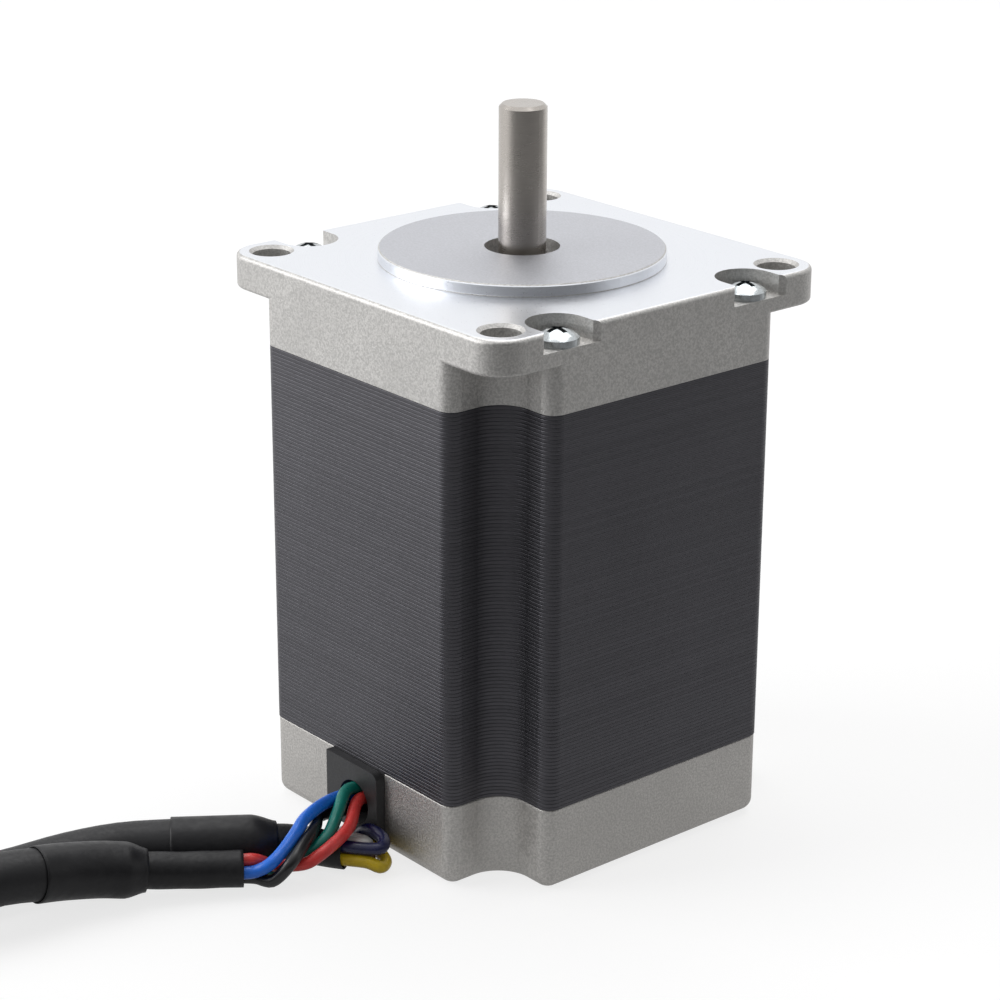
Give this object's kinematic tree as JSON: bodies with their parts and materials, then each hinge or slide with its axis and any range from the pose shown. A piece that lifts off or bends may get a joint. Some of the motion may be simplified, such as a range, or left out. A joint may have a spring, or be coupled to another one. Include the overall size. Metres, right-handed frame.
{
  "type": "stepper motor",
  "caption": "Hybrid stepper motor with a square flanged body, a round shaft and two cables with free leads.",
  "frame": {"origin": "centre of the mounting flange's face, on the shaft's axis", "axes": "+Z along the output shaft, away from the body; the leads leave towards -Y"},
  "size_m": [0.0875, 0.2146, 0.0966],
  "materials": {
    "cast_aluminium": "die-cast, faces machined, satin",
    "stator_steel": "laminated steel with a thin black finish",
    "insulator_plastic": "moulded, matte",
    "copper_wire": "enamelled copper wire",
    "shaft_steel": "ground",
    "rotor_steel": "laminated, ground outside",
    "magnet_black": "sintered, dark",
    "bearing_steel": "polished",
    "cage_brass": "pressed",
    "spring_steel": "rolled",
    "screw_zinc": "bright zinc",
    "grommet_black": "moulded, matte",
    "board_green": "solder mask",
    "wire_blue": "PVC insulation",
    "wire_black": "PVC insulation",
    "wire_green": "PVC insulation",
    "wire_red": "PVC insulation",
    "wire_yellow": "PVC insulation",
    "wire_navy": "PVC insulation",
    "wire_white": "PVC insulation",
    "wire_brown": "PVC insulation",
    "jacket_black": "PVC jacket, matte",
    "shrink_black": "shrink tube, satin",
    "tie_black": "soft PVC-coated wire tie",
    "tinned_wire": "tinned strands"
  },
  "bodies": {
    "root": {"front_cap": "cast_aluminium", "rear_cap": "cast_aluminium", "stator_stack": "stator_steel", "front_insulator": "insulator_plastic", "rear_insulator": "insulator_plastic", "winding_1": "copper_wire", "winding_2": "copper_wire", "winding_3": "copper_wire", "winding_4": "copper_wire", "winding_5": "copper_wire", "winding_6": "copper_wire", "winding_7": "copper_wire", "winding_8": "copper_wire", "front_bearing_outer_ring": "bearing_steel", "front_bearing_shields": "spring_steel", "rear_bearing_outer_ring": "bearing_steel", "rear_bearing_shields": "spring_steel", "wave_washer": "spring_steel", "through_screws": "screw_zinc", "lead_grommet": "grommet_black", "lead_board": "board_green", "lead_blue": "wire_blue", "lead_black": "wire_black", "lead_green": "wire_green", "lead_red": "wire_red", "lead_yellow": "wire_yellow", "lead_navy": "wire_navy", "lead_white": "wire_white", "lead_brown": "wire_brown", "front_wire_sleeve": "shrink_black", "front_shrink_sleeve": "shrink_black", "rear_wire_sleeve": "shrink_black", "rear_shrink_sleeve": "shrink_black", "front_cable_run": "jacket_black", "front_cable_coil": "jacket_black", "rear_cable_run": "jacket_black", "rear_cable_coil": "jacket_black", "front_coil_tie": "tie_black", "rear_coil_tie": "tie_black", "front_flying_leads": "wire_red", "rear_flying_leads": "wire_yellow", "front_lead_tips": "tinned_wire", "rear_lead_tips": "tinned_wire"},
    "rotor": {"shaft": "shaft_steel", "rotor_cup_1": "rotor_steel", "rotor_cup_2": "rotor_steel", "rotor_cup_3": "rotor_steel", "rotor_cup_4": "rotor_steel", "magnet_1": "magnet_black", "magnet_2": "magnet_black", "rotor_spacer": "cast_aluminium", "front_bearing_inner_ring": "bearing_steel", "rear_bearing_inner_ring": "bearing_steel"},
    "front_cage": {"front_bearing_balls": "bearing_steel", "front_bearing_cage": "cage_brass"},
    "rear_cage": {"rear_bearing_balls": "bearing_steel", "rear_bearing_cage": "cage_brass"}
  },
  "joints": [
    {"name": "rotor_spin", "type": "hinge", "parent": "root", "child": "rotor", "pos_m": [0, 0, 0], "axis": [0, 0, 1], "continuous": true},
    {"name": "front_cage_orbit", "type": "hinge", "parent": "root", "child": "front_cage", "pos_m": [0, 0, -0.00339], "axis": [0, 0, 1], "continuous": true},
    {"name": "rear_cage_orbit", "type": "hinge", "parent": "root", "child": "rear_cage", "pos_m": [0, 0, -0.07009], "axis": [0, 0, 1], "continuous": true}
  ],
  "couplings": [
    {"joint": "front_cage_orbit", "follows": "rotor_spin", "ratio": 0.39287},
    {"joint": "rear_cage_orbit", "follows": "rotor_spin", "ratio": 0.39287}
  ]
}
